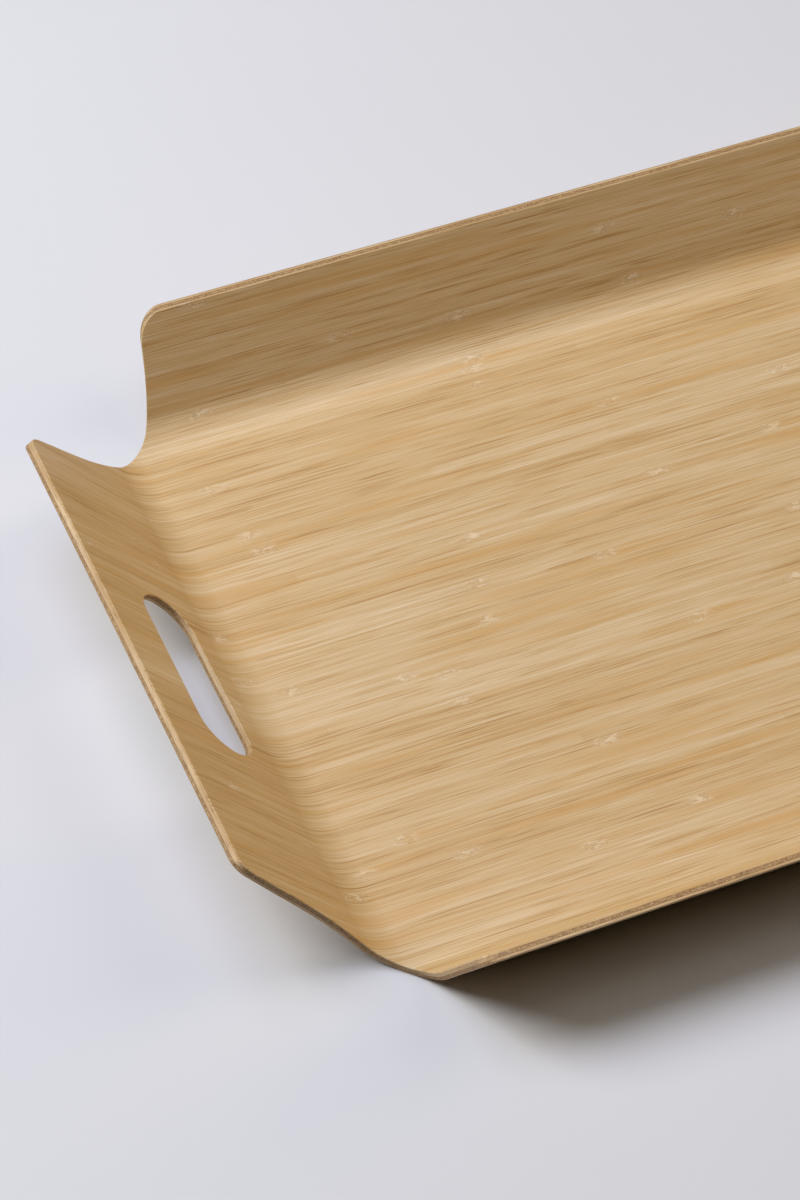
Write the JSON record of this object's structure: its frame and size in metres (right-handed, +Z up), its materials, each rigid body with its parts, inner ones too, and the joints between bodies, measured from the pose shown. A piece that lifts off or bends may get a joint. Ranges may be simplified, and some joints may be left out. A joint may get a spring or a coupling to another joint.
{
  "type": "serving tray",
  "caption": "Rectangular moulded plywood tray with sloping walls, open curved corners and a round-ended hand slot through each end wall.",
  "frame": {"origin": "centre of the tray's footprint on the flat underside of the floor, which is the bottom centre of the bounding box", "axes": "+X along the tray towards one of the two ends with a hand slot, +Y across the tray towards a plain long wall, +Z up out of the open top"},
  "size_m": [0.5404, 0.3796, 0.0589],
  "materials": {
    "face_veneer": "fine-grained side-pressed bamboo veneer, grain along X, satin clear lacquer",
    "cross_ply": "bamboo ply, grain along Y, sawn and lightly sanded at the edges",
    "long_ply": "bamboo ply, grain along X, sawn and lightly sanded at the edges",
    "back_veneer": "bamboo veneer, grain along X, satin clear lacquer"
  },
  "bodies": {
    "root": {"face_veneer": "face_veneer", "cross_ply": "cross_ply", "long_ply": "long_ply", "back_veneer": "back_veneer"}
  },
  "joints": []
}
